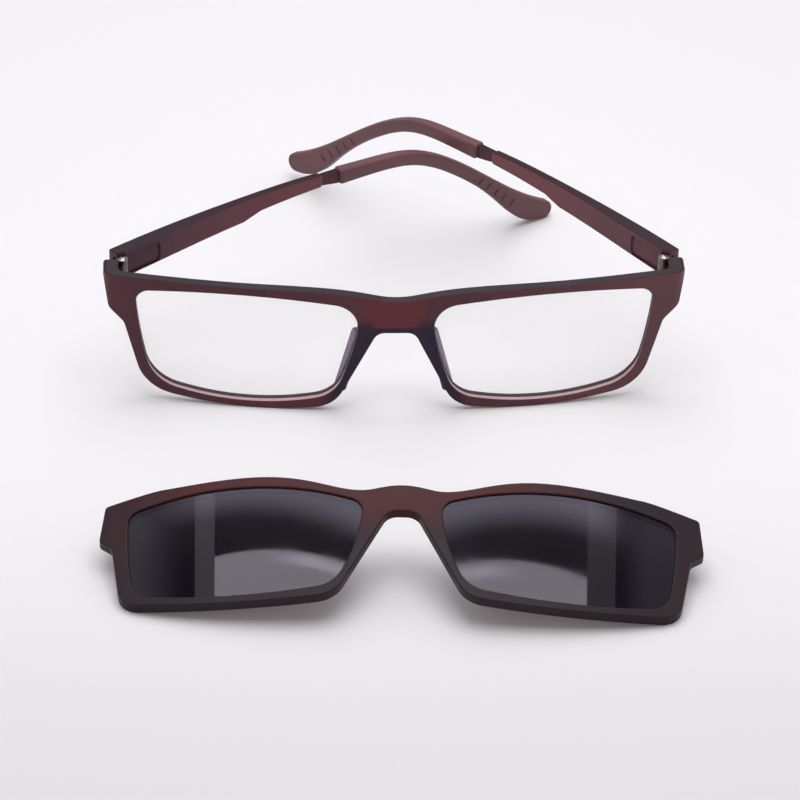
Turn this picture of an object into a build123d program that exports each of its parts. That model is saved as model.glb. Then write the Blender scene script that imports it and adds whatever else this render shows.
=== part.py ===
from build123d import *
import math
import os

os.makedirs("parts", exist_ok=True)

# Optical frame with folding temples and its magnetic sunglass clip, all in millimetres.
# Each piece is drawn upright first: X across the face, Y towards the ears, Z up.
# Fronts are bent round one vertical cylinder, so clip and frame share a curve.

# Where the frame's middle stands from the origin, which is under the middle of the set
stand_at_x = 0.0
stand_at_y = -13.754

# Pose of the frame on the table
front_lean = 7.3
front_rise = 0.02
fold_right = 38.5
fold_left = 52.1

# Pose of the clip on the table
clip_back_tip = 69.9
clip_turn = -3.494
clip_at_x = -3.163
clip_at_y = -95.55
clip_at_z = 8.41

# Wrap and depth of the two fronts
wrap_radius = 230.0
frame_depth = 2.4
clip_depth = 2.6
seat_gap = 0.15
slide_fit = 0.05
run_fit = 0.03
edge_soft = 0.3

# Lens openings of the optical frame
lens_mid_x = 33.5
open_top_z = 30.35
open_low_z = 1.7
open_nose_top_x = 8.1
open_nose_top_z = 28.1
open_nose_mid_x = 9.5
open_nose_mid_z = 18.0
open_nose_low_x = 13.8
open_nose_low_z = 4.7
open_ear_top_x = 58.9
open_ear_top_z = 28.4
open_ear_mid_x = 57.95
open_ear_mid_z = 18.5
open_ear_low_x = 55.1
open_ear_low_z = 5.0
open_round_nose_top = 6.0
open_round_ear_top = 3.6
open_round_ear_low = 9.5
open_round_nose_low = 8.5

# Outer edge of the optical frame
bridge_top_z = 30.2
bridge_shoulder_x = 7.0
bridge_shoulder_z = 31.2
brow_mid_z = 32.45
brow_end_z = 31.55
end_side_x = 66.2
end_side_low_x = 65.0
end_side_low_z = 22.9
rim_side_x = 61.5
rim_side_z = 19.4
rim_corner_x = 57.0
rim_corner_z = 2.5
rim_low_z = -0.3
rim_nose_low_x = 13.7
rim_nose_low_z = 1.3
arch_side_x = 4.2
arch_top_z = 21.65
arch_round = 2.8
rim_round_nose = 8.0
rim_round_ear = 9.5
end_round_low = 2.2
end_round_inner = 3.0
end_round_top = 0.8
brow_end_slope = -0.05

# Endpiece arms that turn back to the hinges
arm_inner_x = 62.6
arm_end_y = 15.9
arm_round = 3.6
arm_inner_round = 1.5
arm_low_front_y = 12.2
arm_low_front_z = 22.2
arm_low_back_z = 24.9

# Nose pads moulded on the back of the rims
pad_mid_x = 10.4
pad_mid_y = 3.95
pad_mid_z = 11.9
pad_long = 15.8
pad_wide = 3.5
pad_thick = 1.8
pad_splay = 25.0
pad_lean = 17.0
pad_soft = 0.7

# Lens and its groove
lens_thick = 1.2
lens_setback = 0.9
groove_deep = 0.7

# Hinges
hinge_x = 61.8
hinge_y = 16.8
barrel_radius = 1.3
barrel_room = 0.25
screw_radius = 0.65
knuckle_top_z = 31.1
knuckle_upper_z = 29.3
knuckle_lower_z = 27.6
knuckle_low_z = 25.9
knuckle_gap = 0.06
leaf_thick = 1.1
leaf_step = 0.4
leaf_skin = 0.6
leaf_reach = 5.6
leaf_clear = 0.9
screw_head_radius = 1.0
screw_head_sink = 0.45
screw_dome = 0.3
screw_dome_share = 0.55
screw_slot_wide = 0.28
screw_slot_deep = 0.2

# Temples, side view measured back from the hinge pin
butt_gap = 0.2
temple_step = 0.3
temple_thick = 3.6
temple_mid_thick = 2.3
temple_tail_thick = 2.0
temple_thin_at = 34.0
temple_mid_at = 20.0
root_top_z = 31.8
root_low_z = 25.0
mid_top_z = 31.7
mid_low_z = 25.5
kink_at = 36.5
kink_top_z = 31.0
kink_low_z = 25.2
ramp_long = 5.0
ramp_low_z = 26.3
ramp_round = 3.0
waist_at = 52.0
waist_top_z = 29.7
waist_low_z = 26.0
neck_at = 60.0
neck_top_z = 28.7
neck_low_z = 25.5
neck_long = 5.5
neck_step = 0.3
neck_thick = 1.3
tongue_reach = 20.5
tongue_z = 22.8
tongue_root_tall = 2.2
tongue_tall = 1.7
tongue_thick = 1.2
recess_long = 11.4
recess_front = 0.9
recess_tall = 5.2
recess_deep = 0.45
recess_round = 1.2

# Ear sleeves, side view
sleeve_thick = 3.2
sleeve_top_z = 28.1
sleeve_low_z = 24.1
sleeve_mid_run = 11.5
sleeve_mid_top_z = 26.3
sleeve_mid_low_z = 22.9
bend_run = 11.0
bend_top_z = 23.9
bend_low_z = 20.5
drop_run = 13.0
drop_top_z = 16.9
drop_low_z = 12.8
paddle_run = 16.0
paddle_top_z = 3.9
paddle_low_z = -2.0
paddle_wide_run = 6.5
paddle_wide_low_z = -8.9
tip_run = 8.9
tip_mid_z = -10.33
tip_round = 2.4
tip_slope = 42.0
sleeve_soft = 0.8
dash_count = 5
dash_long = 2.2
dash_wide = 0.7
dash_rise = 0.2
dash_first_at = 110.3
dash_first_z = 6.9
dash_step_at = 2.7
dash_step_z = -2.55
dash_turn = 38.0

# Magnets
magnet_radius = 1.3
magnet_long = 1.4
magnet_skin = 0.6
magnet_x = 60.7
magnet_z = 25.4
magnet_soft = 0.15

# Lens openings of the clip
c_open_top_z = 30.9
c_open_low_z = 1.5
c_nose_top_x = 8.5
c_nose_top_z = 25.8
c_nose_mid_x = 9.4
c_nose_mid_z = 16.8
c_nose_low_x = 14.4
c_nose_low_z = 3.6
c_ear_top_x = 58.5
c_ear_top_z = 26.7
c_ear_mid_x = 58.0
c_ear_mid_z = 16.4
c_ear_low_x = 56.2
c_ear_low_z = 3.9
c_round_nose_top = 3.6
c_round_ear_top = 3.2
c_round_ear_low = 5.6
c_round_nose_low = 7.0

# Outer edge of the clip
c_bump_z = 30.5
c_notch_x = 8.0
c_notch_z = 29.1
c_brow_in_x = 19.5
c_brow_in_z = 31.7
c_brow_mid_z = 33.6
c_brow_out_x = 50.0
c_brow_out_z = 32.5
c_tab_top_x = 63.7
c_tab_top_z = 29.7
c_tab_low_x = 64.5
c_tab_low_z = 20.4
c_step_x = 61.6
c_step_z = 17.9
c_corner_x = 58.9
c_corner_z = 1.9
c_low_z = -0.55
c_nose_out_x = 13.6
c_nose_out_z = 0.9
c_arch_side_x = 3.0
c_arch_top_z = 23.4
c_arch_round = 3.4
c_rim_round_nose = 7.0
c_rim_round_ear = 5.4
c_tab_round = 1.4
c_tab_top_round = 1.0
c_step_round = 2.0
c_tab_slope = -0.25
clip_lens_thick = 1.1
clip_lens_setback = 0.5
clip_groove_deep = 0.6

# Reach of the cutting and intersecting prisms
reach = 40.0
tall = 90.0

frame_open_corners = (
    (open_nose_top_x, open_nose_top_z, open_round_nose_top),
    (open_ear_top_x, open_ear_top_z, open_round_ear_top),
    (open_ear_low_x, open_ear_low_z, open_round_ear_low),
    (open_nose_low_x, open_nose_low_z, open_round_nose_low),
)
frame_open_mids = (
    (lens_mid_x, open_top_z),
    (open_ear_mid_x, open_ear_mid_z),
    (lens_mid_x, open_low_z),
    (open_nose_mid_x, open_nose_mid_z),
)
clip_open_corners = (
    (c_nose_top_x, c_nose_top_z, c_round_nose_top),
    (c_ear_top_x, c_ear_top_z, c_round_ear_top),
    (c_ear_low_x, c_ear_low_z, c_round_ear_low),
    (c_nose_low_x, c_nose_low_z, c_round_nose_low),
)
clip_open_mids = (
    (lens_mid_x, c_open_top_z),
    (c_ear_mid_x, c_ear_mid_z),
    (lens_mid_x, c_open_low_z),
    (c_nose_mid_x, c_nose_mid_z),
)


def bowed_loop(corners, mids):
    # Closed loop of four shallow arcs with rounded corners, seen from the front
    count = len(corners)
    with BuildSketch() as loop:
        with BuildLine():
            for i in range(count):
                start = corners[i]
                end = corners[(i + 1) % count]
                ThreePointArc((start[0], start[1]), mids[i], (end[0], end[1]))
        make_face()
        for corner in corners:
            near = Vector(corner[0], corner[1])
            spot = loop.vertices().sort_by_distance(near)[0]
            fillet(spot, corner[2])
    return loop.sketch


def round_points(sketch, points):
    # Rounds the named corners of the sketch being built
    for point in points:
        near = Vector(point[0], point[1])
        spot = sketch.vertices().sort_by_distance(near)[0]
        fillet(spot, point[2])


def wrapped_band(front_radius, depth, half_width):
    # Plan view of a wall bent round the wrap cylinder
    with BuildSketch() as band:
        with Locations((0, wrap_radius)):
            Circle(front_radius)
            Circle(front_radius - depth, mode=Mode.SUBTRACT)
        Rectangle(2 * half_width, 2 * reach, mode=Mode.INTERSECT)
    return band.sketch


def wrapped_plate(loop, front_radius, depth):
    # Solid plate with the given front-view loop, bent round the wrap cylinder
    with BuildPart() as plate:
        with BuildSketch(Plane.XZ):
            add(loop)
        extrude(amount=reach, both=True)
        with BuildSketch(Plane.XY.offset(-tall / 2)):
            add(wrapped_band(front_radius, depth, end_side_x))
        extrude(amount=tall, mode=Mode.INTERSECT)
    return plate.part


def across_y(x, z, radius, start_y, end_y):
    # Round bar along Y
    with BuildPart() as bar:
        with BuildSketch(Plane.XZ.offset(-start_y)):
            with Locations((x, z)):
                Circle(radius)
        extrude(amount=start_y - end_y)
    return bar.part


def upright(x, y, radius, low_z, high_z):
    # Round bar along Z
    with BuildPart() as bar:
        with BuildSketch(Plane.XY.offset(low_z)):
            with Locations((x, y)):
                Circle(radius)
        extrude(amount=high_z - low_z)
    return bar.part


def block(low, high):
    # Straight block between two corners
    with BuildPart() as box:
        with Locations(((low[0] + high[0]) / 2, (low[1] + high[1]) / 2, (low[2] + high[2]) / 2)):
            Box(high[0] - low[0], high[1] - low[1], high[2] - low[2])
    return box.part


def wider(corners, mids, step):
    # The same loop drawn again, with every side moved outwards by one step
    count = len(corners)
    normals = []
    for i in range(count):
        run_x = corners[(i + 1) % count][0] - corners[i][0]
        run_z = corners[(i + 1) % count][1] - corners[i][1]
        length = math.hypot(run_x, run_z)
        normals.append((-run_z / length, run_x / length))
    new_mids = []
    new_corners = []
    for i in range(count):
        here = normals[i]
        before = normals[i - 1]
        share = step / (1 + here[0] * before[0] + here[1] * before[1])
        new_mids.append((mids[i][0] + step * here[0], mids[i][1] + step * here[1]))
        new_corners.append(
            (
                corners[i][0] + share * (here[0] + before[0]),
                corners[i][1] + share * (here[1] + before[1]),
                corners[i][2] + step,
            )
        )
    return bowed_loop(new_corners, new_mids)


def wrap_y(x):
    # Depth of the bent front face at distance x from the middle
    return wrap_radius - math.sqrt(wrap_radius ** 2 - x ** 2)


frame_open = bowed_loop(frame_open_corners, frame_open_mids)
clip_open = bowed_loop(clip_open_corners, clip_open_mids)

# Right half of the outer edge of the optical frame
with BuildSketch() as frame_half:
    with BuildLine():
        Spline(
            (0, bridge_top_z),
            (bridge_shoulder_x, bridge_shoulder_z),
            (lens_mid_x, brow_mid_z),
            (end_side_x, brow_end_z),
            tangents=((1, 0), (1, brow_end_slope)),
        )
        Line((end_side_x, brow_end_z), (end_side_low_x, end_side_low_z))
        Line((end_side_low_x, end_side_low_z), (rim_side_x, rim_side_z))
        Line((rim_side_x, rim_side_z), (rim_corner_x, rim_corner_z))
        ThreePointArc(
            (rim_corner_x, rim_corner_z),
            (lens_mid_x, rim_low_z),
            (rim_nose_low_x, rim_nose_low_z),
        )
        Line((rim_nose_low_x, rim_nose_low_z), (arch_side_x, arch_top_z))
        Line((arch_side_x, arch_top_z), (0, arch_top_z))
        Line((0, arch_top_z), (0, bridge_top_z))
    make_face()
    round_points(
        frame_half,
        (
            (end_side_x, brow_end_z, end_round_top),
            (end_side_low_x, end_side_low_z, end_round_low),
            (rim_side_x, rim_side_z, end_round_inner),
            (rim_corner_x, rim_corner_z, rim_round_ear),
            (rim_nose_low_x, rim_nose_low_z, rim_round_nose),
            (arch_side_x, arch_top_z, arch_round),
        ),
    )

# Right half of the outer edge of the clip
with BuildSketch() as clip_half:
    with BuildLine():
        Spline(
            (0, c_bump_z),
            (c_notch_x, c_notch_z),
            (c_brow_in_x, c_brow_in_z),
            (lens_mid_x, c_brow_mid_z),
            (c_brow_out_x, c_brow_out_z),
            (c_tab_top_x, c_tab_top_z),
            tangents=((1, 0), (1, c_tab_slope)),
        )
        Line((c_tab_top_x, c_tab_top_z), (c_tab_low_x, c_tab_low_z))
        Line((c_tab_low_x, c_tab_low_z), (c_step_x, c_step_z))
        Line((c_step_x, c_step_z), (c_corner_x, c_corner_z))
        ThreePointArc(
            (c_corner_x, c_corner_z),
            (lens_mid_x, c_low_z),
            (c_nose_out_x, c_nose_out_z),
        )
        Line((c_nose_out_x, c_nose_out_z), (c_arch_side_x, c_arch_top_z))
        Line((c_arch_side_x, c_arch_top_z), (0, c_arch_top_z))
        Line((0, c_arch_top_z), (0, c_bump_z))
    make_face()
    round_points(
        clip_half,
        (
            (c_tab_top_x, c_tab_top_z, c_tab_top_round),
            (c_tab_low_x, c_tab_low_z, c_tab_round),
            (c_step_x, c_step_z, c_step_round),
            (c_corner_x, c_corner_z, c_rim_round_ear),
            (c_nose_out_x, c_nose_out_z, c_rim_round_nose),
            (c_arch_side_x, c_arch_top_z, c_arch_round),
        ),
    )

# Plan view of the frame front: the bent wall and the two arms
with BuildSketch() as frame_plan:
    add(wrapped_band(wrap_radius, frame_depth, end_side_x))
    for side in (-1, 1):
        arm_mid_x = side * (arm_inner_x + end_side_x) / 2
        arm_start_y = wrap_y(end_side_x) + frame_depth / 2
        with Locations((arm_mid_x, (arm_start_y + arm_end_y) / 2)):
            Rectangle(end_side_x - arm_inner_x, arm_end_y - arm_start_y)
    for side in (-1, 1):
        round_points(
            frame_plan,
            (
                (side * end_side_x, wrap_y(end_side_x), arm_round),
                (side * arm_inner_x, wrap_y(arm_inner_x) + frame_depth, arm_inner_round),
            ),
        )

# Pieces inside the right-hand rim and endpiece, drawn upright
clip_front_radius = wrap_radius + seat_gap + clip_depth
lens_radius = wrap_radius - lens_setback
groove_radius = lens_radius + slide_fit
groove_thick = lens_thick + 2 * slide_fit
clip_lens_radius = clip_front_radius - clip_lens_setback
clip_groove_radius = clip_lens_radius + slide_fit
clip_groove_thick = clip_lens_thick + 2 * slide_fit
magnet_low_y = wrap_y(magnet_x + magnet_radius) + magnet_skin
magnet_high_y = magnet_low_y + magnet_long
clip_magnet_low_y = magnet_low_y - seat_gap - clip_depth
clip_magnet_high_y = clip_magnet_low_y + magnet_long
leaf_in_x = arm_inner_x + leaf_skin
leaf_out_x = leaf_in_x + leaf_thick
leaf_front_y = hinge_y - leaf_clear - leaf_reach
leaf_back_y = hinge_y - leaf_clear
leaf_low_z = knuckle_low_z + leaf_step
leaf_high_z = knuckle_top_z - leaf_step
temple_in_x = end_side_x - temple_step - temple_thick
temple_out_x = end_side_x - temple_step
butt_y = arm_end_y + butt_gap
temple_mid_x = (temple_in_x + temple_out_x) / 2
ramp_at = kink_at + ramp_long
sleeve_at = neck_at + neck_long
sleeve_mid_at = sleeve_at + sleeve_mid_run
bend_at = sleeve_mid_at + bend_run
drop_at = bend_at + drop_run
paddle_at = drop_at + paddle_run
paddle_wide_at = paddle_at + paddle_wide_run
tip_mid_at = paddle_wide_at + tip_run
tongue_at = sleeve_at + tongue_reach

# Nose pad, a soft-edged plate moulded on the back of the rim
pad_plane = Plane(
    origin=(pad_mid_x, pad_mid_y, pad_mid_z),
    x_dir=(math.sin(math.radians(pad_splay)), math.cos(math.radians(pad_splay)), 0),
    z_dir=(
        math.cos(math.radians(pad_splay)) * math.cos(math.radians(pad_lean)),
        -math.sin(math.radians(pad_splay)) * math.cos(math.radians(pad_lean)),
        math.sin(math.radians(pad_lean)),
    ),
)
with BuildPart() as pad:
    with BuildSketch(pad_plane.offset(-pad_thick / 2)):
        RectangleRounded(pad_wide, pad_long, pad_wide / 2 - pad_soft)
    extrude(amount=pad_thick)
    fillet(pad.edges(), pad_soft)

# Optical frame front
with BuildPart() as frame_front:
    with BuildSketch(Plane.XZ):
        add(frame_half.sketch)
        mirror(about=Plane.YZ)
    extrude(amount=reach, both=True)
    with BuildSketch(Plane.XY.offset(-tall / 2)):
        add(frame_plan.sketch)
    extrude(amount=tall, mode=Mode.INTERSECT)
    with BuildSketch(Plane.XZ):
        add(frame_open)
        mirror(about=Plane.YZ)
    extrude(amount=reach, both=True, mode=Mode.SUBTRACT)
    with BuildSketch(Plane.YZ):
        with BuildLine():
            Polyline(
                (arm_low_front_y, arm_low_front_z),
                (arm_end_y + butt_gap, arm_low_back_z),
                (arm_end_y + butt_gap, rim_corner_z),
                (arm_low_front_y, rim_corner_z),
                close=True,
            )
        make_face()
    extrude(amount=reach * 2, both=True, mode=Mode.SUBTRACT)
    fillet(frame_front.edges(), edge_soft)
    add(pad.part)
    mirror(pad.part, about=Plane.YZ)
    groove = wrapped_plate(
        wider(frame_open_corners, frame_open_mids, groove_deep), groove_radius, groove_thick
    )
    add(groove, mode=Mode.SUBTRACT)
    mirror(groove, about=Plane.YZ, mode=Mode.SUBTRACT)
    for side in (-1, 1):
        add(
            across_y(
                side * magnet_x,
                magnet_z,
                magnet_radius + slide_fit,
                magnet_low_y - slide_fit,
                magnet_high_y + frame_depth,
            ),
            mode=Mode.SUBTRACT,
        )
        add(
            upright(
                side * hinge_x,
                hinge_y,
                barrel_radius + barrel_room,
                knuckle_low_z - barrel_room,
                tall / 2,
            ),
            mode=Mode.SUBTRACT,
        )
    leaf_slot = block(
        (leaf_in_x - slide_fit, leaf_front_y - slide_fit, leaf_low_z - slide_fit),
        (leaf_out_x + slide_fit, hinge_y, leaf_high_z + slide_fit),
    )
    add(leaf_slot, mode=Mode.SUBTRACT)
    mirror(leaf_slot, about=Plane.YZ, mode=Mode.SUBTRACT)
    tab_slot = block(
        (hinge_x, hinge_y - barrel_radius - slide_fit, knuckle_lower_z - slide_fit),
        (leaf_out_x + slide_fit, hinge_y, knuckle_upper_z + slide_fit),
    )
    add(tab_slot, mode=Mode.SUBTRACT)
    mirror(tab_slot, about=Plane.YZ, mode=Mode.SUBTRACT)

# Clear demonstration lens
with BuildPart() as demo_lens_right:
    add(
        wrapped_plate(
            wider(frame_open_corners, frame_open_mids, groove_deep - slide_fit),
            lens_radius,
            lens_thick,
        )
    )
with BuildPart() as demo_lens_left:
    mirror(demo_lens_right.part, about=Plane.YZ)

# Magnets behind the skin of the rim and of the clip
with BuildPart() as frame_magnet_right:
    add(across_y(magnet_x, magnet_z, magnet_radius, magnet_low_y, magnet_high_y))
    fillet(frame_magnet_right.edges(), magnet_soft)
with BuildPart() as frame_magnet_left:
    mirror(frame_magnet_right.part, about=Plane.YZ)
with BuildPart() as clip_magnet_right:
    add(across_y(magnet_x, magnet_z, magnet_radius, clip_magnet_low_y, clip_magnet_high_y))
    fillet(clip_magnet_right.edges(), magnet_soft)
with BuildPart() as clip_magnet_left:
    mirror(clip_magnet_right.part, about=Plane.YZ)

# Hinge half in the endpiece, with the middle knuckle
with BuildPart() as hinge_front_right:
    add(
        block(
            (leaf_in_x, leaf_front_y, leaf_low_z),
            (leaf_out_x, leaf_back_y, leaf_high_z),
        )
    )
    add(
        block(
            (hinge_x, hinge_y - barrel_radius, knuckle_lower_z),
            (leaf_out_x, hinge_y, knuckle_upper_z),
        )
    )
    add(upright(hinge_x, hinge_y, barrel_radius, knuckle_lower_z, knuckle_upper_z))
    add(
        upright(hinge_x, hinge_y, screw_radius + run_fit, knuckle_low_z, knuckle_top_z),
        mode=Mode.SUBTRACT,
    )
with BuildPart() as hinge_front_left:
    mirror(hinge_front_right.part, about=Plane.YZ)

# Hinge half in the temple, with the two outer knuckles
with BuildPart() as hinge_temple_open:
    add(
        block(
            (leaf_in_x, hinge_y + leaf_clear, leaf_low_z),
            (leaf_out_x, hinge_y + leaf_clear + leaf_reach, leaf_high_z),
        )
    )
    for low_z, high_z in (
        (knuckle_low_z, knuckle_lower_z - knuckle_gap),
        (knuckle_upper_z + knuckle_gap, knuckle_top_z),
    ):
        add(upright(hinge_x, hinge_y, barrel_radius, low_z, high_z))
        add(
            block(
                (hinge_x, hinge_y, max(low_z, leaf_low_z)),
                (leaf_out_x, hinge_y + barrel_radius, min(high_z, leaf_high_z)),
            )
        )
    add(
        upright(hinge_x, hinge_y, screw_radius + run_fit, knuckle_low_z, knuckle_top_z),
        mode=Mode.SUBTRACT,
    )
    with BuildSketch(Plane.XY.offset(knuckle_top_z - screw_head_sink - run_fit)):
        with Locations((hinge_x, hinge_y)):
            Circle(screw_head_radius + run_fit)
    extrude(amount=screw_head_sink + tall / 2, mode=Mode.SUBTRACT)

# Hinge screw with a low domed, slotted head
with BuildPart() as hinge_screw_open:
    with BuildSketch(Plane.XZ):
        with BuildLine():
            Polyline(
                (0, knuckle_low_z),
                (screw_radius, knuckle_low_z),
                (screw_radius, knuckle_top_z - screw_head_sink),
                (screw_head_radius, knuckle_top_z - screw_head_sink),
                (screw_head_radius, knuckle_top_z),
            )
            ThreePointArc(
                (screw_head_radius, knuckle_top_z),
                (screw_head_radius / math.sqrt(2), knuckle_top_z + screw_dome * screw_dome_share),
                (0, knuckle_top_z + screw_dome),
            )
            Line((0, knuckle_top_z + screw_dome), (0, knuckle_low_z))
        make_face()
    revolve(axis=Axis.Z)
    with Locations((0, 0, knuckle_top_z + screw_dome)):
        Box(
            screw_slot_wide,
            4 * screw_head_radius,
            2 * screw_slot_deep,
            mode=Mode.SUBTRACT,
        )


def tongue_bar(grow):
    # Tongue that holds the sleeve on the temple; grown for the sleeve's socket
    sleeve_mid_z = (sleeve_top_z + sleeve_low_z) / 2
    with BuildPart() as bar:
        with BuildSketch(Plane.YZ.offset(temple_mid_x - tongue_thick / 2 - grow)):
            with BuildLine():
                Polyline(
                    (hinge_y + sleeve_at - neck_long / 2, sleeve_mid_z + tongue_root_tall / 2 + grow),
                    (hinge_y + tongue_at + grow, tongue_z + tongue_tall / 2 + grow),
                    (hinge_y + tongue_at + grow, tongue_z - tongue_tall / 2 - grow),
                    (hinge_y + sleeve_at - neck_long / 2, sleeve_mid_z - tongue_root_tall / 2 - grow),
                    close=True,
                )
            make_face()
        extrude(amount=tongue_thick + 2 * grow)
    return bar.part


# Set-back neck between the temple bar and its sleeve
with BuildPart() as neck:
    with BuildSketch(Plane.YZ.offset(temple_mid_x - neck_thick / 2)):
        with BuildLine():
            Polyline(
                (hinge_y + neck_at - neck_thick, neck_top_z - neck_step),
                (hinge_y + neck_at, neck_top_z - neck_step),
                (hinge_y + sleeve_at - slide_fit, sleeve_top_z - neck_step),
                (hinge_y + sleeve_at - slide_fit, sleeve_low_z + neck_step),
                (hinge_y + neck_at, neck_low_z + neck_step),
                (hinge_y + neck_at - neck_thick, neck_low_z + neck_step),
                close=True,
            )
        make_face()
    extrude(amount=neck_thick)


# Right temple, drawn open
with BuildPart() as temple_open:
    with BuildSketch(Plane.YZ) as side_view:
        with BuildLine():
            Spline(
                (butt_y, root_top_z),
                (hinge_y + temple_mid_at, mid_top_z),
                (hinge_y + kink_at, kink_top_z),
                (hinge_y + waist_at, waist_top_z),
                (hinge_y + neck_at, neck_top_z),
            )
            Line((hinge_y + neck_at, neck_top_z), (hinge_y + neck_at, neck_low_z))
            Spline(
                (hinge_y + neck_at, neck_low_z),
                (hinge_y + waist_at, waist_low_z),
                (hinge_y + ramp_at, ramp_low_z),
            )
            Line((hinge_y + ramp_at, ramp_low_z), (hinge_y + kink_at, kink_low_z))
            Spline(
                (hinge_y + kink_at, kink_low_z),
                (hinge_y + temple_mid_at, mid_low_z),
                (butt_y, root_low_z),
            )
            Line((butt_y, root_low_z), (butt_y, root_top_z))
        make_face()
        round_points(
            side_view,
            (
                (hinge_y + ramp_at, ramp_low_z, ramp_round),
                (hinge_y + kink_at, kink_low_z, ramp_round),
            ),
        )
    extrude(amount=reach * 2)
    with BuildSketch(Plane.XY):
        with BuildLine():
            Spline(
                (temple_in_x, butt_y),
                (temple_in_x, hinge_y + recess_long),
                (temple_mid_x - temple_mid_thick / 2, hinge_y + temple_thin_at),
                (temple_mid_x - temple_tail_thick / 2, hinge_y + neck_at),
                tangents=((0, 1), (0, 1)),
            )
            Line(
                (temple_mid_x - temple_tail_thick / 2, hinge_y + neck_at),
                (temple_mid_x + temple_tail_thick / 2, hinge_y + neck_at),
            )
            Spline(
                (temple_mid_x + temple_tail_thick / 2, hinge_y + neck_at),
                (temple_mid_x + temple_mid_thick / 2, hinge_y + temple_thin_at),
                (temple_out_x, butt_y),
                tangents=((0, -1), (0, -1)),
            )
            Line((temple_out_x, butt_y), (temple_in_x, butt_y))
        make_face()
    extrude(amount=reach, mode=Mode.INTERSECT)
    fillet(temple_open.edges(), edge_soft)
    add(neck.part)
    add(tongue_bar(0))
    with BuildSketch(Plane.YZ.offset(temple_in_x + recess_deep)):
        with Locations(
            (hinge_y + (recess_long - recess_front) / 2, (root_top_z + root_low_z) / 2)
        ):
            RectangleRounded(recess_long + recess_front, recess_tall, recess_round)
    extrude(amount=-recess_deep * 4, mode=Mode.SUBTRACT)
    add(
        upright(
            hinge_x,
            hinge_y,
            barrel_radius + barrel_room,
            knuckle_low_z - barrel_room,
            tall / 2,
        ),
        mode=Mode.SUBTRACT,
    )
    add(
        block(
            (leaf_in_x - slide_fit, butt_y - leaf_thick, leaf_low_z - slide_fit),
            (
                leaf_out_x + slide_fit,
                hinge_y + leaf_clear + leaf_reach + slide_fit,
                leaf_high_z + slide_fit,
            ),
        ),
        mode=Mode.SUBTRACT,
    )
    add(
        block(
            (hinge_x, butt_y - leaf_thick, leaf_low_z - slide_fit),
            (leaf_out_x + slide_fit, hinge_y + barrel_radius + slide_fit, leaf_high_z + slide_fit),
        ),
        mode=Mode.SUBTRACT,
    )

# Right ear sleeve, drawn open
tip_run = math.sin(math.radians(tip_slope))
tip_fall = math.cos(math.radians(tip_slope))
tip_top_y = hinge_y + tip_mid_at + tip_round * tip_run
tip_top_z = tip_mid_z + tip_round * tip_fall
with BuildPart() as sleeve_open:
    with BuildSketch(Plane.YZ.offset(temple_mid_x - sleeve_thick / 2)):
        with BuildLine():
            Spline(
                (hinge_y + sleeve_at, sleeve_top_z),
                (hinge_y + sleeve_mid_at, sleeve_mid_top_z),
                (hinge_y + bend_at, bend_top_z),
                (hinge_y + drop_at, drop_top_z),
                (hinge_y + paddle_at, paddle_top_z),
                (tip_top_y, tip_top_z),
            )
            ThreePointArc(
                (tip_top_y, tip_top_z),
                (hinge_y + tip_mid_at + tip_round * tip_fall, tip_mid_z - tip_round * tip_run),
                (hinge_y + tip_mid_at, tip_mid_z - tip_round),
            )
            Spline(
                (hinge_y + tip_mid_at, tip_mid_z - tip_round),
                (hinge_y + paddle_wide_at, paddle_wide_low_z),
                (hinge_y + paddle_at, paddle_low_z),
                (hinge_y + drop_at, drop_low_z),
                (hinge_y + bend_at, bend_low_z),
                (hinge_y + sleeve_mid_at, sleeve_mid_low_z),
                (hinge_y + sleeve_at, sleeve_low_z),
            )
            Line((hinge_y + sleeve_at, sleeve_low_z), (hinge_y + sleeve_at, sleeve_top_z))
        make_face()
    extrude(amount=sleeve_thick)
    fillet(sleeve_open.edges(), sleeve_soft)
    for i in range(dash_count):
        with BuildSketch(Plane.YZ.offset(temple_mid_x - sleeve_thick / 2 + dash_rise)):
            with Locations(
                Location(
                    (
                        hinge_y + dash_first_at + i * dash_step_at,
                        dash_first_z + i * dash_step_z,
                    ),
                    dash_turn,
                )
            ):
                SlotOverall(dash_long, dash_wide)
        extrude(amount=-2 * dash_rise)
    add(tongue_bar(slide_fit), mode=Mode.SUBTRACT)

# Clip front
with BuildPart() as clip_frame:
    with BuildSketch(Plane.XZ):
        add(clip_half.sketch)
        mirror(about=Plane.YZ)
    extrude(amount=reach, both=True)
    with BuildSketch(Plane.XY.offset(-tall / 2)):
        add(wrapped_band(clip_front_radius, clip_depth, end_side_x))
    extrude(amount=tall, mode=Mode.INTERSECT)
    with BuildSketch(Plane.XZ):
        add(clip_open)
        mirror(about=Plane.YZ)
    extrude(amount=reach, both=True, mode=Mode.SUBTRACT)
    fillet(clip_frame.edges(), edge_soft)
    clip_groove = wrapped_plate(
        wider(clip_open_corners, clip_open_mids, clip_groove_deep),
        clip_groove_radius,
        clip_groove_thick,
    )
    add(clip_groove, mode=Mode.SUBTRACT)
    mirror(clip_groove, about=Plane.YZ, mode=Mode.SUBTRACT)
    for side in (-1, 1):
        add(
            across_y(
                side * magnet_x,
                magnet_z,
                magnet_radius + slide_fit,
                clip_magnet_low_y - slide_fit,
                clip_magnet_high_y + clip_depth,
            ),
            mode=Mode.SUBTRACT,
        )

# Polarised lens of the clip
with BuildPart() as clip_lens_right:
    add(
        wrapped_plate(
            wider(clip_open_corners, clip_open_mids, clip_groove_deep - slide_fit),
            clip_lens_radius,
            clip_lens_thick,
        )
    )
with BuildPart() as clip_lens_left:
    mirror(clip_lens_right.part, about=Plane.YZ)

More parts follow.
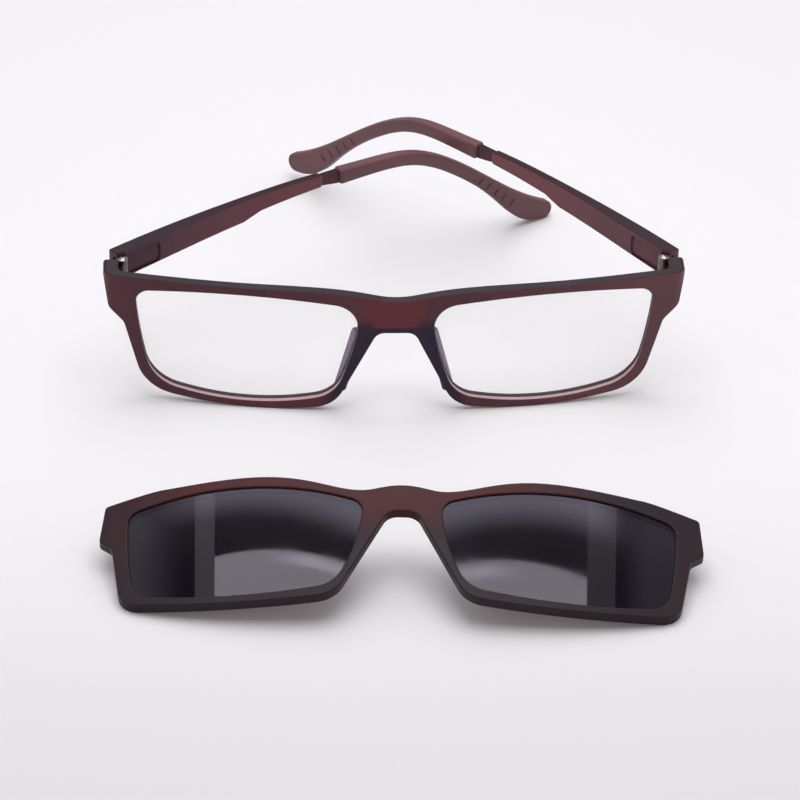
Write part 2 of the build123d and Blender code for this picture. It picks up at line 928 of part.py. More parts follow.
# Left temple pieces mirror the right ones
with BuildPart() as temple_left:
    mirror(temple_open.part, about=Plane.YZ)
with BuildPart() as temple_right:
    add(temple_open.part)
with BuildPart() as ear_sleeve_left:
    mirror(sleeve_open.part, about=Plane.YZ)
with BuildPart() as ear_sleeve_right:
    add(sleeve_open.part)
with BuildPart() as hinge_temple_left:
    mirror(hinge_temple_open.part, about=Plane.YZ)
with BuildPart() as hinge_temple_right:
    add(hinge_temple_open.part)
with BuildPart() as hinge_screw_left:
    with Locations((-hinge_x, hinge_y, 0)):
        add(hinge_screw_open.part)
with BuildPart() as hinge_screw_right:
    with Locations((hinge_x, hinge_y, 0)):
        add(hinge_screw_open.part)

# Poses on the table
stand = Pos(stand_at_x, stand_at_y, 0)
front_pose = stand * Pos(0, 0, front_rise) * Rot(X=front_lean)
right_pose = (
    front_pose * Pos(hinge_x, hinge_y, 0) * Rot(Z=fold_right) * Pos(-hinge_x, -hinge_y, 0)
)
left_pose = (
    front_pose * Pos(-hinge_x, hinge_y, 0) * Rot(Z=-fold_left) * Pos(hinge_x, -hinge_y, 0)
)
clip_pose = (
    stand
    * Pos(clip_at_x, clip_at_y, clip_at_z)
    * Rot(Z=clip_turn)
    * Rot(X=-clip_back_tip)
    * Pos(0, seat_gap + clip_depth, 0)
)

frame_front.part.move(front_pose)
frame_front.part.label = "frame_front"
export_step(frame_front.part, "parts/frame_front.step")

demo_lens_right.part.move(front_pose)
demo_lens_right.part.label = "demo_lens_right"
export_step(demo_lens_right.part, "parts/demo_lens_right.step")

demo_lens_left.part.move(front_pose)
demo_lens_left.part.label = "demo_lens_left"
export_step(demo_lens_left.part, "parts/demo_lens_left.step")

frame_magnet_right.part.move(front_pose)
frame_magnet_right.part.label = "frame_magnet_right"
export_step(frame_magnet_right.part, "parts/frame_magnet_right.step")

frame_magnet_left.part.move(front_pose)
frame_magnet_left.part.label = "frame_magnet_left"
export_step(frame_magnet_left.part, "parts/frame_magnet_left.step")

hinge_front_right.part.move(front_pose)
hinge_front_right.part.label = "hinge_front_right"
export_step(hinge_front_right.part, "parts/hinge_front_right.step")

hinge_front_left.part.move(front_pose)
hinge_front_left.part.label = "hinge_front_left"
export_step(hinge_front_left.part, "parts/hinge_front_left.step")

hinge_temple_right.part.move(right_pose)
hinge_temple_right.part.label = "hinge_temple_right"
export_step(hinge_temple_right.part, "parts/hinge_temple_right.step")

hinge_screw_right.part.move(right_pose)
hinge_screw_right.part.label = "hinge_screw_right"
export_step(hinge_screw_right.part, "parts/hinge_screw_right.step")

temple_right.part.move(right_pose)
temple_right.part.label = "temple_right"
export_step(temple_right.part, "parts/temple_right.step")

ear_sleeve_right.part.move(right_pose)
ear_sleeve_right.part.label = "ear_sleeve_right"
export_step(ear_sleeve_right.part, "parts/ear_sleeve_right.step")

hinge_temple_left.part.move(left_pose)
hinge_temple_left.part.label = "hinge_temple_left"
export_step(hinge_temple_left.part, "parts/hinge_temple_left.step")

hinge_screw_left.part.move(left_pose)
hinge_screw_left.part.label = "hinge_screw_left"
export_step(hinge_screw_left.part, "parts/hinge_screw_left.step")

temple_left.part.move(left_pose)
temple_left.part.label = "temple_left"
export_step(temple_left.part, "parts/temple_left.step")

ear_sleeve_left.part.move(left_pose)
ear_sleeve_left.part.label = "ear_sleeve_left"
export_step(ear_sleeve_left.part, "parts/ear_sleeve_left.step")

clip_frame.part.move(clip_pose)
clip_frame.part.label = "clip_frame"
export_step(clip_frame.part, "parts/clip_frame.step")

clip_lens_right.part.move(clip_pose)
clip_lens_right.part.label = "clip_lens_right"
export_step(clip_lens_right.part, "parts/clip_lens_right.step")

clip_lens_left.part.move(clip_pose)
clip_lens_left.part.label = "clip_lens_left"
export_step(clip_lens_left.part, "parts/clip_lens_left.step")

clip_magnet_right.part.move(clip_pose)
clip_magnet_right.part.label = "clip_magnet_right"
export_step(clip_magnet_right.part, "parts/clip_magnet_right.step")

clip_magnet_left.part.move(clip_pose)
clip_magnet_left.part.label = "clip_magnet_left"
export_step(clip_magnet_left.part, "parts/clip_magnet_left.step")
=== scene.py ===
import math

import bpy
from bpy.props import FloatProperty, FloatVectorProperty, PointerProperty
from bpy.types import Operator, Panel, PropertyGroup
from mathutils import Matrix, Vector

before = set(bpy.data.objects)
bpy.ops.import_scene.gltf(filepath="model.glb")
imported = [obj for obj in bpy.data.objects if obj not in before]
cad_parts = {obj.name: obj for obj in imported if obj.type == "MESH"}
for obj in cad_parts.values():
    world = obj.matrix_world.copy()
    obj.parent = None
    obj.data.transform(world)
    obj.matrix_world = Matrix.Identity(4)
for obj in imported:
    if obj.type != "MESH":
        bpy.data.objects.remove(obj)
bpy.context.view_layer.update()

bl_info = {
    "name": "Glasses with magnetic sunglass clip",
    "version": (1, 0, 0),
    "blender": (4, 5, 0),
    "location": "View3D > Sidebar > Glasses",
    "description": "Finishes for a moulded brown frame, its folded temples and its dark clip",
    "category": "Object",
}

SIDES = ("right", "left")

# Places in metres, as the glasses stand at rest
FRONT_MIDDLE = Vector((0.0, -0.013754, 0.00002))
FRONT_LEAN = math.radians(7.3)
WRAP_RADIUS = 0.23
RIGHT_END = 0.066

# Distances from the front's middle line, and heights above the floor, where its tones change
BRIDGE_SIDE = 0.0065
BRIDGE_EDGE = 0.0230
NOSE_START = 0.0051
NOSE_SIDE = 0.0155
NOSE_TOP = 0.02425
PAD_SIDE = 0.0185
LIP_TOP = 0.0125

# Depths behind the front's face where the lip ends and the pads start
LIP_DEPTH = 0.00095
PAD_DEPTH = 0.0030

# Hinge lines, and how far from them a temple steps back to its neck
HINGE_SIDE = 0.0618
NECK_AT = 0.05985

# Stretch of the clip with a redder brow of painted light, about its own middle
CLIP_MIDDLE = -0.012
BROW_DEPTH = -0.090
BROW_SIDE = 0.045

ROOF_HEIGHT = 0.6


def screen(red, green, blue):
    """Linear colour for a colour given as it looks on a screen, 0 to 255."""
    linear = []
    for part in (red, green, blue):
        part = part / 255
        linear.append(part / 12.92 if part <= 0.04045 else ((part + 0.055) / 1.055) ** 2.4)
    return tuple(linear)


class Finish:
    """One node material, with short calls for the nodes that the finishes share."""

    def __init__(self, name):
        self.material = bpy.data.materials.new(name)
        self.material.use_nodes = True
        self.tree = self.material.node_tree
        self.tree.nodes.clear()
        self.out = self.node("ShaderNodeOutputMaterial")
        self.shader = self.node("ShaderNodeBsdfPrincipled")
        self.tree.links.new(self.shader.outputs["BSDF"], self.out.inputs["Surface"])
        self.coords = self.node("ShaderNodeTexCoord")
        self.place = self.coords.outputs["Object"]

    def node(self, kind):
        return self.tree.nodes.new(kind)

    def link(self, source, target):
        self.tree.links.new(source, target)

    def set(self, **values):
        """Sets the shader's own sockets, named with underscores for spaces."""
        for name, value in values.items():
            socket = self.shader.inputs[name.replace("_", " ")]
            if isinstance(value, tuple):
                value = value[:3] + (1.0,) if len(socket.default_value) == 4 else value
            socket.default_value = value

    def noise(self, scale, detail=2.0, rough=0.5, stretch=(1, 1, 1)):
        """Cloudy value with about the given number of clouds in a metre."""
        mapping = self.node("ShaderNodeMapping")
        mapping.inputs["Scale"].default_value = stretch
        self.link(self.place, mapping.inputs["Vector"])
        cloud = self.node("ShaderNodeTexNoise")
        cloud.inputs["Scale"].default_value = scale
        cloud.inputs["Detail"].default_value = detail
        cloud.inputs["Roughness"].default_value = rough
        self.link(mapping.outputs["Vector"], cloud.inputs["Vector"])
        return cloud.outputs["Fac"]

    def spread(self, source, low, high, to_low=0.0, to_high=1.0):
        """Smooth step of a value, from to_low at low to to_high at high."""
        ramp = self.node("ShaderNodeMapRange")
        ramp.interpolation_type = "SMOOTHSTEP"
        ramp.inputs["From Min"].default_value = low
        ramp.inputs["From Max"].default_value = high
        ramp.inputs["To Min"].default_value = to_low
        ramp.inputs["To Max"].default_value = to_high
        self.link(source, ramp.inputs["Value"])
        return ramp.outputs["Result"]

    def beyond(self, source, edge, soft):
        """1 above an edge and 0 below it, blurred by soft to both sides."""
        return self.spread(source, edge - soft, edge + soft)

    def within(self, source, edge, soft):
        """1 below an edge and 0 above it, blurred by soft to both sides."""
        return self.spread(source, edge + soft, edge - soft)

    def feed(self, socket, value):
        """Gives a socket a number, a colour or the result of another node."""
        if isinstance(value, (int, float)):
            socket.default_value = value
        elif isinstance(value, tuple):
            socket.default_value = value[:3] + (1.0,)
        else:
            self.link(value, socket)

    def maths(self, operation, first, second=None):
        step = self.node("ShaderNodeMath")
        step.operation = operation
        self.feed(step.inputs[0], first)
        if second is not None:
            self.feed(step.inputs[1], second)
        return step.outputs["Value"]

    def times(self, *values):
        """Product of two or more values."""
        product = values[0]
        for value in values[1:]:
            product = self.maths("MULTIPLY", product, value)
        return product

    def mix(self, factor, first, second):
        """Colour between two others, by a factor from 0 to 1."""
        blend = self.node("ShaderNodeMix")
        blend.data_type = "RGBA"
        self.feed(blend.inputs[0], factor)
        self.feed(blend.inputs[6], first)
        self.feed(blend.inputs[7], second)
        return blend.outputs[2]

    def radius(self, first, second):
        """Distance from the point where both values are nought."""
        squares = self.maths("ADD", self.maths("POWER", first, 2.0), self.maths("POWER", second, 2.0))
        return self.maths("POWER", squares, 0.5)

    def colour(self, source):
        self.link(source, self.shader.inputs["Base Color"])

    def roughness(self, source):
        self.link(source, self.shader.inputs["Roughness"])

    def bump(self, source, strength, distance):
        relief = self.node("ShaderNodeBump")
        relief.inputs["Strength"].default_value = strength
        relief.inputs["Distance"].default_value = distance
        self.link(source, relief.inputs["Height"])
        self.link(relief.outputs["Normal"], self.shader.inputs["Normal"])

    def upward(self, low, high):
        """1 on faces that look up at rest, 0 on upright ones."""
        parts = self.node("ShaderNodeSeparateXYZ")
        self.link(self.coords.outputs["Normal"], parts.inputs["Vector"])
        return self.spread(parts.outputs["Z"], low, high)

    def split(self):
        """Place across, in depth and in height, in metres."""
        parts = self.node("ShaderNodeSeparateXYZ")
        self.link(self.place, parts.inputs["Vector"])
        return parts.outputs["X"], parts.outputs["Y"], parts.outputs["Z"]


def dress(node, finish):
    """Gives a CAD node its finish, shape untouched."""
    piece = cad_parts.get(node)
    if piece is None:
        raise RuntimeError(f"the packed model has no node {node}")
    if not piece.material_slots:
        raise RuntimeError(f"{node} has no material slot")
    for place in piece.material_slots:
        place.material = finish.material


def moulded(finish, body, deep, soft, grain=None):
    """Shared surface of moulded plastic: cloudy tone, uneven sheen and, if given, a fine grain."""
    cloud = finish.noise(48.0, detail=0.5, rough=0.3, stretch=(1.0, 1.0, 0.6))
    sheen = finish.noise(110.0, detail=1.0)
    finish.roughness(finish.spread(sheen, 0.3, 0.7, soft - 0.02, soft + 0.03))
    if grain:
        finish.bump(finish.noise(grain), strength=0.02, distance=0.00004)
    return finish.mix(finish.spread(cloud, 0.3, 0.7), body, deep)


def colour_property(name, about, value):
    return FloatVectorProperty(
        name=name, description=about, subtype="COLOR", size=3, min=0.0, max=1.0, default=screen(*value)
    )


def share_property(name, about, value):
    return FloatProperty(name=name, description=about, subtype="FACTOR", min=0.0, max=1.0, default=value)


def strength_property(name, about, value):
    return FloatProperty(name=name, description=about, min=0.0, default=value)


class FrameSettings(PropertyGroup):
    """Tones and sheen of the front"""

    body: colour_property("Body", "Brown of the moulded frame", (87, 49, 53))
    deep: colour_property("Deep", "Darker clouds in the moulded frame", (73, 45, 51))
    # Painted light: the front turns paler towards the right end, where more light falls.
    pale: colour_property("Pale", "Paler tone towards the right end", (136, 98, 101))
    bridge: colour_property("Bridge", "Redder tone where light passes through the bridge", (100, 44, 51))
    # Painted shade: dark violet beside the nose and along the lower edge of the bridge.
    nose: colour_property("Nose side", "Dark violet tone beside the nose", (37, 28, 50))
    # Painted shade: the faces that look up are darker.
    painted_top_shade: colour_property("Ledge", "Darker tone of the faces that look up", (23, 17, 21))
    # Painted highlight: a pale line along the inner lip of the lower rim.
    lip: colour_property("Lip", "Pale line of the rim's inner lip under the lens", (196, 166, 168))
    pads: colour_property("Nose pads", "Lilac tone of the thin nose pads", (122, 102, 128))
    soft: share_property("Softness", "Roughness of the satin skin", 0.27)


class TempleSettings(PropertyGroup):
    """Tones and sheen of the temples and their sleeves"""

    body: colour_property("Body", "Brown of the temples", (98, 64, 70))
    deep: colour_property("Deep", "Darker clouds in the temples", (79, 56, 64))
    # Painted light: a redder tone towards the neck.
    painted_neck_light: colour_property("Warm", "Redder tone towards the neck", (112, 68, 72))
    # Painted shade: the set-back neck is darker.
    neck: colour_property("Neck", "Darker tone of the set-back neck", (66, 40, 46))
    # Painted light: the temples turn paler towards the right end, where more light falls.
    pale: colour_property("Pale", "Paler tone towards the right end", (136, 98, 101))
    # Painted shade: the faces that look up are darker.
    painted_top_shade: colour_property("Ledge", "Darker tone of the faces that look up", (30, 20, 25))
    sleeve: colour_property("Sleeve", "Brown of the ear sleeves", (97, 56, 59))
    sleeve_deep: colour_property("Sleeve deep", "Darker clouds in the sleeves", (84, 49, 53))
    firm: share_property("Firm", "Roughness of the temples", 0.3)
    soft: share_property("Softness", "Roughness of the ear sleeves", 0.5)


class ClipSettings(PropertyGroup):
    """Tones and sheen of the clip"""

    body: colour_property("Body", "Dark brown of the clip", (40, 29, 33))
    deep: colour_property("Deep", "Darker clouds in the clip", (35, 26, 30))
    # Painted light: a redder tone along the top rim and the bridge.
    brow: colour_property("Brow", "Redder tone along the top rim and the bridge", (71, 29, 27))
    lens: colour_property("Lens", "Tint of the dark lenses", (14, 12, 18))
    soft: share_property("Softness", "Roughness of the clip's front", 0.46)
    cover: share_property("Cover", "How much light the lens stops", 0.9)


class MetalSettings(PropertyGroup):
    """Tones of the metal pieces"""

    hinge: colour_property("Hinge", "Bright nickel of hinges and screws", (150, 143, 140))
    magnet: colour_property("Magnet", "Nickel skin of the magnets", (190, 190, 194))


class StageSettings(PropertyGroup):
    """Floor, lights and camera"""

    far: colour_property("Far floor", "Floor tone behind the glasses", (217, 222, 219))
    near: colour_property("Near floor", "Floor tone in front of the clip", (200, 203, 203))
    camera_at: FloatVectorProperty(
        name="Camera", description="Where the camera stands", subtype="XYZ", unit="LENGTH",
        default=(-0.04752, -0.877884, 0.47426),
    )
    camera_ahead: FloatVectorProperty(
        name="Ahead", description="Direction the camera looks in", subtype="XYZ",
        default=(0.04958, 0.87682, -0.47825),
    )
    camera_right: FloatVectorProperty(
        name="Right", description="Direction to the right of the picture", subtype="XYZ",
        default=(0.99875, -0.04624, 0.01876),
    )
    focal: FloatProperty(
        name="Focal length", description="Of the camera", subtype="DISTANCE_CAMERA", default=194.08, min=10.0
    )
    sky: strength_property("Room light", "Strength of the even room light", 0.55)
    softbox: strength_property("Softbox", "Brightness of the roof light", 3.8)
    left_lip: strength_property("Left lip", "Brightness of the softbox's left lip", 0.765)
    right_lip: strength_property("Right lip", "Brightness of the softbox's right lip", 0.45)
    side_glow: strength_property("Side glow", "Brightness of the room to both sides", 0.7)
    back_panel: strength_property("Back panel", "Brightness of the panel behind", 2.5)


def front_places(finish):
    """Distance from the middle, depth and height in the front's own upright frame."""
    across, depth, height = finish.split()
    side = finish.maths("ABSOLUTE", finish.maths("SUBTRACT", across, FRONT_MIDDLE.x))
    lean = finish.maths("MULTIPLY", height, math.tan(FRONT_LEAN))
    back = finish.maths("ADD", finish.maths("SUBTRACT", depth, FRONT_MIDDLE.y), lean)
    bow = finish.times(side, side, 0.5 / WRAP_RADIUS)
    return side, finish.maths("SUBTRACT", back, bow), height


def painted_right_light(finish, tone, pale):
    """Paints light onto a tone, paler from the middle to the right end."""
    across = finish.split()[0]
    return finish.mix(finish.spread(across, 0.0, RIGHT_END, 0.0, 0.22), tone, pale)


class GLASSES_OT_front(Operator):
    """Finishes the moulded front with its bridge and nose pads"""

    bl_idname = "glasses.front"
    bl_label = "Front"

    def execute(self, context):
        look = context.scene.glasses_frame
        finish = Finish("moulded_brown_front")
        tone = moulded(finish, tuple(look.body), tuple(look.deep), look.soft)
        # Painted light, paler towards the right end
        tone = painted_right_light(finish, tone, tuple(look.pale))
        side, back, height = front_places(finish)
        bridge = finish.within(side, BRIDGE_SIDE, 0.0025)
        tone = finish.mix(finish.times(bridge, 0.85), tone, tuple(look.bridge))
        # Painted shade beside the nose and along the lower edge of the bridge
        nose_shade = finish.times(
            finish.within(side, NOSE_SIDE, 0.002), finish.within(height, NOSE_TOP, 0.00175)
        )
        under_bridge = finish.within(height, BRIDGE_EDGE, 0.0004)
        beside_bridge = finish.beyond(side, NOSE_START, 0.0011)
        outside = finish.maths("MAXIMUM", beside_bridge, under_bridge)
        tone = finish.mix(finish.times(nose_shade, outside, 0.9), tone, tuple(look.nose))
        pad = finish.times(finish.beyond(back, PAD_DEPTH, 0.0004), finish.within(side, PAD_SIDE, 0.0015))
        tone = finish.mix(finish.times(pad, 0.9), tone, tuple(look.pads))
        # Painted shade darkens the faces that look up
        painted_top_shade = finish.upward(0.5, 0.85)
        tone = finish.mix(finish.times(painted_top_shade, 0.92), tone, tuple(look.painted_top_shade))
        # Painted highlight along the inner lip under the lens
        lip = finish.times(
            finish.within(height, LIP_TOP, 0.0015),
            finish.within(back, LIP_DEPTH, 0.00025),
            finish.upward(0.2, 0.5),
        )
        tone = finish.mix(finish.times(lip, 0.85), tone, tuple(look.lip))
        finish.colour(tone)
        finish.set(IOR=1.5, Specular_IOR_Level=0.16)
        dress("frame_front", finish)
        return {"FINISHED"}


class GLASSES_OT_demo_lenses(Operator):
    """Finishes the clear demonstration lenses"""

    bl_idname = "glasses.demo_lenses"
    bl_label = "Demonstration lenses"

    def execute(self, context):
        finish = Finish("clear_lens")
        haze = finish.noise(120.0, detail=3.0)
        finish.roughness(finish.spread(haze, 0.3, 0.8, 0.02, 0.06))
        cloud = finish.spread(finish.noise(30.0), 0.3, 0.7)
        finish.colour(finish.mix(cloud, screen(250, 249, 252), screen(244, 242, 248)))
        finish.set(IOR=1.5, Alpha=0.07)
        for side in SIDES:
            dress(f"demo_lens_{side}", finish)
        return {"FINISHED"}


class GLASSES_OT_temples(Operator):
    """Finishes the two temples, with painted light that makes them redder towards the neck"""

    bl_idname = "glasses.temples"
    bl_label = "Temples"

    def execute(self, context):
        look = context.scene.glasses_temples
        finish = Finish("moulded_brown_temple")
        tone = moulded(finish, tuple(look.body), tuple(look.deep), look.firm, grain=5200.0)
        across, depth, height = finish.split()
        # Painted light, redder towards the neck
        tone = finish.mix(finish.spread(depth, 0.0, 0.045), tone, tuple(look.painted_neck_light))
        # Painted light, paler towards the right end
        tone = painted_right_light(finish, tone, tuple(look.pale))
        # Painted shade on the set-back neck
        inward = finish.maths("SUBTRACT", HINGE_SIDE, finish.maths("ABSOLUTE", across))
        neck = finish.beyond(finish.radius(inward, depth), NECK_AT, 0.00015)
        tone = finish.mix(finish.times(neck, 0.85), tone, tuple(look.neck))
        # Painted shade darkens the faces that look up
        painted_top_shade = finish.upward(0.5, 0.85)
        tone = finish.mix(finish.times(painted_top_shade, 0.9), tone, tuple(look.painted_top_shade))
        finish.colour(tone)
        finish.set(IOR=1.5, Specular_IOR_Level=0.1)
        finish.set(Subsurface_Weight=0.12, Subsurface_Radius=(0.004, 0.0012, 0.001))
        for side in SIDES:
            dress(f"temple_{side}", finish)
        return {"FINISHED"}


class GLASSES_OT_sleeves(Operator):
    """Finishes the softer ear sleeves"""

    bl_idname = "glasses.sleeves"
    bl_label = "Ear sleeves"

    def execute(self, context):
        look = context.scene.glasses_temples
        finish = Finish("soft_brown_sleeve")
        finish.colour(moulded(finish, tuple(look.sleeve), tuple(look.sleeve_deep), look.soft, grain=4200.0))
        finish.set(IOR=1.48)
        for side in SIDES:
            dress(f"ear_sleeve_{side}", finish)
        return {"FINISHED"}


class GLASSES_OT_hinges(Operator):
    """Finishes the hinge halves and their screws"""

    bl_idname = "glasses.hinges"
    bl_label = "Hinges and screws"

    def execute(self, context):
        look = context.scene.glasses_metal
        for name, rough, shine, pieces in (
            ("drawn_nickel", 0.24, 0.5, ("hinge_front", "hinge_temple")),
            ("turned_nickel", 0.14, 1.0, ("hinge_screw",)),
        ):
            finish = Finish(name)
            drag = finish.noise(900.0, stretch=(1.0, 1.0, 0.12))
            finish.roughness(finish.spread(drag, 0.3, 0.7, rough - 0.05, rough + 0.1))
            finish.bump(drag, strength=0.1, distance=0.00002)
            stain = finish.spread(finish.noise(400.0), 0.5, 0.8)
            bright = tuple(shine * part for part in look.hinge)
            finish.colour(finish.mix(stain, bright, tuple(0.6 * part for part in bright)))
            finish.set(Metallic=1.0)
            for piece in pieces:
                for side in SIDES:
                    dress(f"{piece}_{side}", finish)
        return {"FINISHED"}


class GLASSES_OT_magnets(Operator):
    """Finishes the small nickel-plated magnets"""

    bl_idname = "glasses.magnets"
    bl_label = "Magnets"

    def execute(self, context):
        look = context.scene.glasses_metal
        finish = Finish("plated_magnet")
        finish.roughness(finish.spread(finish.noise(1500.0), 0.3, 0.7, 0.16, 0.3))
        mark = finish.spread(finish.noise(700.0, detail=3.0), 0.45, 0.75)
        finish.colour(finish.mix(mark, tuple(look.magnet), tuple(0.75 * part for part in look.magnet)))
        finish.set(Metallic=1.0)
        for side in SIDES:
            dress(f"frame_magnet_{side}", finish)
            dress(f"clip_magnet_{side}", finish)
        return {"FINISHED"}


class GLASSES_OT_clip(Operator):
    """Finishes the clip's dark front, with painted light that makes it redder along its brow"""

    bl_idname = "glasses.clip"
    bl_label = "Clip front"

    def execute(self, context):
        look = context.scene.glasses_clip
        finish = Finish("moulded_dark_clip")
        tone = moulded(finish, tuple(look.body), tuple(look.deep), look.soft, grain=5200.0)
        across, depth, height = finish.split()
        side = finish.maths("ABSOLUTE", finish.maths("SUBTRACT", across, CLIP_MIDDLE))
        # Painted light along the brow
        brow = finish.beyond(depth, BROW_DEPTH, 0.006)
        middle = finish.within(side, BROW_SIDE, 0.015)
        finish.colour(finish.mix(finish.times(brow, middle, 0.8), tone, tuple(look.brow)))
        finish.set(IOR=1.5, Specular_IOR_Level=0.16)
        finish.set(Subsurface_Weight=0.08, Subsurface_Radius=(0.003, 0.0008, 0.0006))
        dress("clip_frame", finish)
        return {"FINISHED"}


class GLASSES_OT_clip_lenses(Operator):
    """Finishes the dark polarised lenses"""

    bl_idname = "glasses.clip_lenses"
    bl_label = "Clip lenses"

    def execute(self, context):
        look = context.scene.glasses_clip
        finish = Finish("dark_polarised_lens")
        smear = finish.noise(70.0, detail=3.0, stretch=(1.0, 0.35, 1.0))
        finish.roughness(finish.spread(smear, 0.35, 0.75, 0.015, 0.04))
        finish.colour(finish.mix(smear, tuple(look.lens), tuple(1.3 * part for part in look.lens)))
        finish.set(IOR=1.52, Alpha=look.cover, Specular_Tint=screen(245, 241, 255))
        for side in SIDES:
            dress(f"clip_lens_{side}", finish)
        return {"FINISHED"}


class GLASSES_OT_stage(Operator):
    """Lays the floor, hangs the lights and sets the camera at the photo's angle"""

    bl_idname = "glasses.stage"
    bl_label = "Stage"

    def execute(self, context):
        scene = context.scene
        look = scene.glasses_stage
        self.floor(scene, look)
        self.softbox(scene, look)
        self.back_panel(scene, look)
        self.side_card(scene, look)
        self.lamp(scene, "left_lip", (-0.2555, -0.2285), (-0.4, 0.21), look.left_lip)
        self.lamp(scene, "right_lip", (0.2475, 0.288), (-0.4, 0.17), look.right_lip)
        self.room(scene, look)
        self.camera(scene, look)
        scene.view_settings.view_transform = "Standard"
        return {"FINISHED"}

    def floor(self, scene, look):
        """Pale floor, paler behind the glasses, that glows more the further out it is. Its colour gradient
        and its glow are painted light.
        """
        half = 6.0
        corners = ((-half, -half), (half, -half), (half, half), (-half, half))
        floor = self.sheet(scene, "floor", corners, 0.0)
        finish = Finish("pale_floor")
        across, depth, height = finish.split()
        # Painted light in the floor's colour: darker in front of the clip, paler behind the glasses.
        finish.colour(finish.mix(finish.spread(depth, -0.19, 0.0), tuple(look.near), tuple(look.far)))
        finish.set(Roughness=0.9, Specular_IOR_Level=0.1, Emission_Color=screen(255, 244, 248))
        # Painted light: the glow lifts the shadows with a pink tint and whitens the floor further out.
        glow = finish.spread(finish.radius(across, depth), 0.28, 1.1, 0.06, 0.6)
        finish.link(glow, finish.shader.inputs["Emission Strength"])
        finish.material.cycles.emission_sampling = "NONE"
        floor.data.materials.append(finish.material)

    def softbox(self, scene, look):
        """Bright roof over both fronts, brightest along the middle of its far edge."""
        corners = ((-0.228, 0.149), (-0.228, -0.4), (0.247, -0.4), (0.247, 0.1143), (0.0, 0.0955))
        roof = self.sheet(scene, "softbox", corners, ROOF_HEIGHT)
        finish = Finish("softbox")
        past = self.past(finish, -0.24, 0.073)
        side = finish.maths("ABSOLUTE", finish.split()[0])
        streak = finish.times(
            finish.beyond(past, 0.0895, 0.001),
            finish.within(past, 0.0935, 0.001),
            finish.spread(side, 0.17, 0.1, 0.0, 0.7),
        )
        strength = finish.times(finish.maths("ADD", streak, 1.0), look.softbox)
        self.glow(roof, finish, screen(255, 251, 255), strength)

    def back_panel(self, scene, look):
        """Dimmer panel behind the softbox, fading in beyond a dark gap."""
        corners = ((-0.42, 0.1), (0.4, 0.1), (0.4, 0.7), (-0.42, 0.7))
        panel = self.sheet(scene, "back_panel", corners, ROOF_HEIGHT + 0.002)
        finish = Finish("back_panel")
        across = finish.split()[0]
        strength = finish.times(
            finish.spread(self.past(finish, -0.27, 0.11), 0.101, 0.116),
            finish.spread(across, -0.33, -0.2, 0.2),
            finish.spread(across, 0.31, 0.24, 0.15),
            look.back_panel,
        )
        left = finish.spread(across, -0.265, -0.35)
        right = finish.spread(across, 0.29, 0.34, 0.0, 0.6)
        sides = finish.times(finish.maths("MAXIMUM", left, right), look.side_glow)
        self.glow(panel, finish, screen(246, 240, 255), finish.maths("MAXIMUM", strength, sides))

    def side_card(self, scene, look):
        """Dark roof of the room, paler towards its two sides."""
        corners = ((-0.9, -0.6), (0.9, -0.6), (0.9, 0.4), (-0.9, 0.4))
        card = self.sheet(scene, "side_card", corners, ROOF_HEIGHT + 0.04)
        finish = Finish("side_card")
        side = finish.maths("ABSOLUTE", finish.split()[0])
        self.glow(card, finish, screen(255, 248, 252), finish.spread(side, 0.265, 0.35, 0.0, look.side_glow))
        finish.material.cycles.emission_sampling = "NONE"

    def past(self, finish, left, right):
        """Depth measured from two lines that leave the middle with the given slopes."""
        across, depth, height = finish.split()
        edge = finish.maths("MAXIMUM", finish.times(across, left), finish.times(across, right))
        return finish.maths("SUBTRACT", depth, edge)

    def glow(self, sheet, finish, tint, strength):
        """Makes a sheet dark but glowing with the given strength."""
        finish.set(Base_Color=screen(20, 19, 22), Roughness=0.9, Emission_Color=tint)
        finish.link(strength, finish.shader.inputs["Emission Strength"])
        sheet.data.materials.append(finish.material)

    def sheet(self, scene, name, corners, height):
        """Flat level sheet of the stage. The camera sees the floor only, not the roofs."""
        mesh = bpy.data.meshes.new(name)
        mesh.from_pydata([(*corner, height) for corner in corners], [], [range(len(corners))])
        sheet = bpy.data.objects.new(name, mesh)
        scene.collection.objects.link(sheet)
        sheet.visible_camera = height == 0.0
        return sheet

    def lamp(self, scene, name, across, depth, radiance):
        """Rectangular light over the given stretch, shining straight down."""
        light = bpy.data.lights.new(name, "AREA")
        light.shape = "RECTANGLE"
        light.size = across[1] - across[0]
        light.size_y = depth[1] - depth[0]
        light.energy = radiance * math.pi * light.size * light.size_y
        lamp = bpy.data.objects.new(name, light)
        scene.collection.objects.link(lamp)
        lamp.location = (sum(across) / 2, sum(depth) / 2, ROOF_HEIGHT + 0.001)

    def room(self, scene, look):
        """Even light from all around."""
        scene.world = bpy.data.worlds.new("room")
        scene.world.use_nodes = True
        background = scene.world.node_tree.nodes["Background"]
        background.inputs["Color"].default_value = screen(255, 237, 243) + (1.0,)
        background.inputs["Strength"].default_value = look.sky

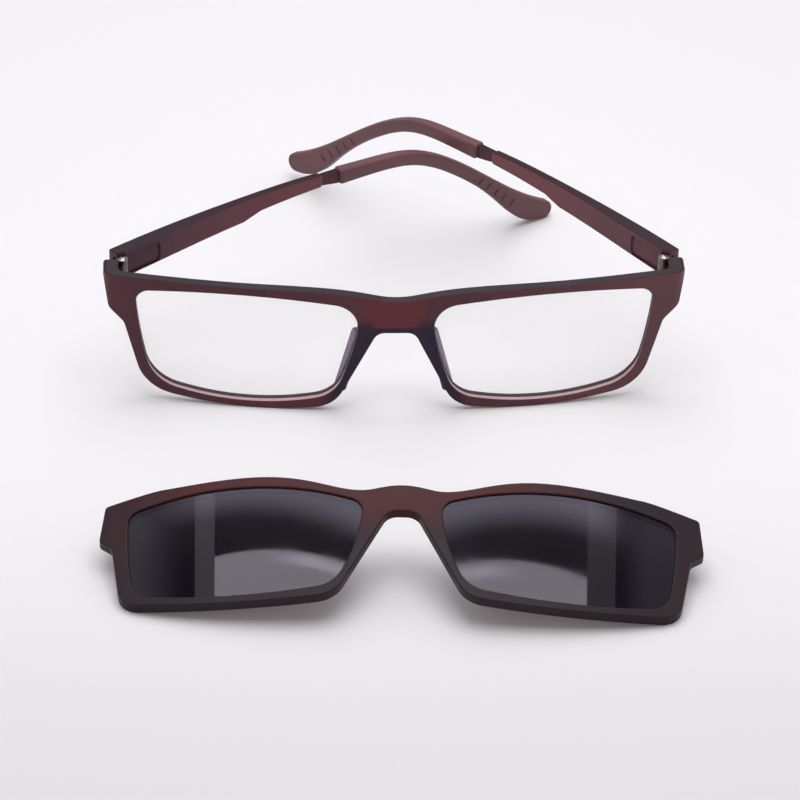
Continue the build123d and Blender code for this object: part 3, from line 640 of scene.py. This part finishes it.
    def camera(self, scene, look):
        """Camera where the photo was taken from."""
        camera = bpy.data.cameras.new("camera")
        camera.lens = look.focal
        camera.sensor_width = 36.0
        camera.clip_start = 0.05
        camera.clip_end = 20.0
        holder = bpy.data.objects.new("camera", camera)
        scene.collection.objects.link(holder)
        back = -Vector(look.camera_ahead).normalized()
        right = Vector(look.camera_right)
        right = (right - back * right.dot(back)).normalized()
        turn = Matrix((right, back.cross(right), back)).transposed().to_4x4()
        holder.matrix_world = Matrix.Translation(Vector(look.camera_at)) @ turn
        scene.camera = holder


class GLASSES_PT_panel(Panel):
    """Lists the finishes and their settings"""

    bl_idname = "GLASSES_PT_panel"
    bl_label = "Glasses"
    bl_space_type = "VIEW_3D"
    bl_region_type = "UI"
    bl_category = "Glasses"

    def draw(self, context):
        for group, steps in GROUPS:
            box = self.layout.box()
            settings = getattr(context.scene, group)
            for name in settings.__annotations__:
                box.prop(settings, name)
            for step in steps:
                box.operator(step)


GROUPS = (
    ("glasses_frame", ("glasses.front", "glasses.demo_lenses")),
    ("glasses_temples", ("glasses.temples", "glasses.sleeves")),
    ("glasses_metal", ("glasses.hinges", "glasses.magnets")),
    ("glasses_clip", ("glasses.clip", "glasses.clip_lenses")),
    ("glasses_stage", ("glasses.stage",)),
)
SETTINGS = {
    "glasses_frame": FrameSettings,
    "glasses_temples": TempleSettings,
    "glasses_metal": MetalSettings,
    "glasses_clip": ClipSettings,
    "glasses_stage": StageSettings,
}
CLASSES = (
    *SETTINGS.values(),
    GLASSES_OT_front,
    GLASSES_OT_demo_lenses,
    GLASSES_OT_temples,
    GLASSES_OT_sleeves,
    GLASSES_OT_hinges,
    GLASSES_OT_magnets,
    GLASSES_OT_clip,
    GLASSES_OT_clip_lenses,
    GLASSES_OT_stage,
    GLASSES_PT_panel,
)


def register():
    for kind in CLASSES:
        bpy.utils.register_class(kind)
    for name, kind in SETTINGS.items():
        setattr(bpy.types.Scene, name, PointerProperty(type=kind))


def unregister():
    for name in SETTINGS:
        delattr(bpy.types.Scene, name)
    for kind in reversed(CLASSES):
        bpy.utils.unregister_class(kind)


def main():
    register()
    for group, steps in GROUPS:
        for step in steps:
            family, name = step.split(".")
            getattr(getattr(bpy.ops, family), name)()


if __name__ == "__main__":
    main()
